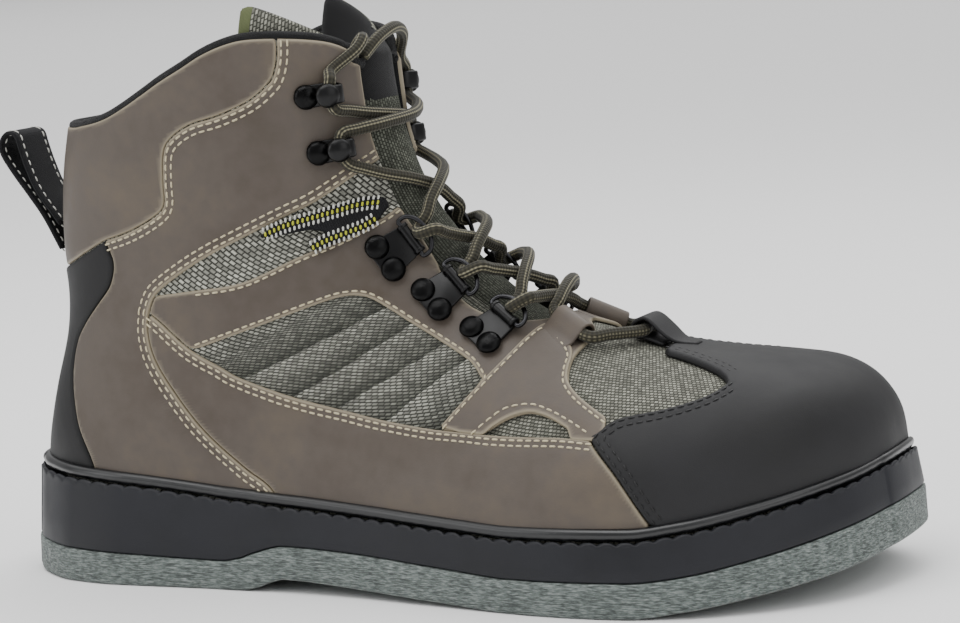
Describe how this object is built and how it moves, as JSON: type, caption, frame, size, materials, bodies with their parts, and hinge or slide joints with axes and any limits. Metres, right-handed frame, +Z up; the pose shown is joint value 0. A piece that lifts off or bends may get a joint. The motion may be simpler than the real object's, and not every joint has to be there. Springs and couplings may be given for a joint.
{
  "type": "wading boot",
  "caption": "Mid-height lace-up wading boot for the right foot, with a felt outsole, rubber toe cap and heel cup, tan overlays on mesh, ring and hook lacing, and a rear pull loop",
  "frame": {"origin": "on the floor, in the middle of the heel seat's flat, 45 mm forward of the sole's rear end", "axes": "+X to the toe, +Z up, lateral side along -Y and medial side along +Y (right boot)"},
  "size_m": [0.3265, 0.1282, 0.1927],
  "materials": {
    "ankle_panel_lateral": "smooth tan synthetic leather",
    "ankle_panel_medial": "smooth tan synthetic leather",
    "clip_1": "glossy black enamel",
    "clip_2": "glossy black enamel",
    "clip_3": "glossy black enamel",
    "clip_4": "glossy black enamel",
    "clip_5": "glossy black enamel",
    "clip_6": "glossy black enamel",
    "collar_panel": "smooth tan synthetic leather",
    "eyestay_lateral": "smooth tan synthetic leather",
    "eyestay_medial": "smooth tan synthetic leather",
    "foxing_lateral": "smooth tan synthetic leather",
    "foxing_medial": "smooth tan synthetic leather",
    "heel_counter": "matte grained rubber",
    "hook_1": "glossy black enamel",
    "hook_2": "glossy black enamel",
    "hook_3": "glossy black enamel",
    "hook_4": "glossy black enamel",
    "insole": "matte foam",
    "lace_crossings": "round braided cord",
    "midsole": "satin black moulded rubber",
    "outsole_felt": "matte pressed felt",
    "pull_loop": "woven webbing",
    "ring_1": "black wire",
    "ring_2": "black wire",
    "ring_3": "black wire",
    "ring_4": "black wire",
    "ring_5": "black wire",
    "ring_6": "black wire",
    "toe_cap": "matte grained rubber",
    "tongue": "padded knitted mesh",
    "upper": "matte knitted mesh",
    "webbing_loop_lateral": "woven webbing",
    "webbing_loop_medial": "woven webbing",
    "welt": "glossy black rubber"
  },
  "bodies": {
    "root": {"ankle_panel_lateral": "ankle_panel_lateral", "ankle_panel_medial": "ankle_panel_medial", "clip_1": "clip_1", "clip_2": "clip_2", "clip_3": "clip_3", "clip_4": "clip_4", "clip_5": "clip_5", "clip_6": "clip_6", "collar_panel": "collar_panel", "eyestay_lateral": "eyestay_lateral", "eyestay_medial": "eyestay_medial", "foxing_lateral": "foxing_lateral", "foxing_medial": "foxing_medial", "heel_counter": "heel_counter", "hook_1": "hook_1", "hook_2": "hook_2", "hook_3": "hook_3", "hook_4": "hook_4", "insole": "insole", "lace_crossings": "lace_crossings", "midsole": "midsole", "outsole_felt": "outsole_felt", "pull_loop": "pull_loop", "ring_1": "ring_1", "ring_2": "ring_2", "ring_3": "ring_3", "ring_4": "ring_4", "ring_5": "ring_5", "ring_6": "ring_6", "toe_cap": "toe_cap", "tongue": "tongue", "upper": "upper", "webbing_loop_lateral": "webbing_loop_lateral", "webbing_loop_medial": "webbing_loop_medial", "welt": "welt"}
  },
  "joints": []
}
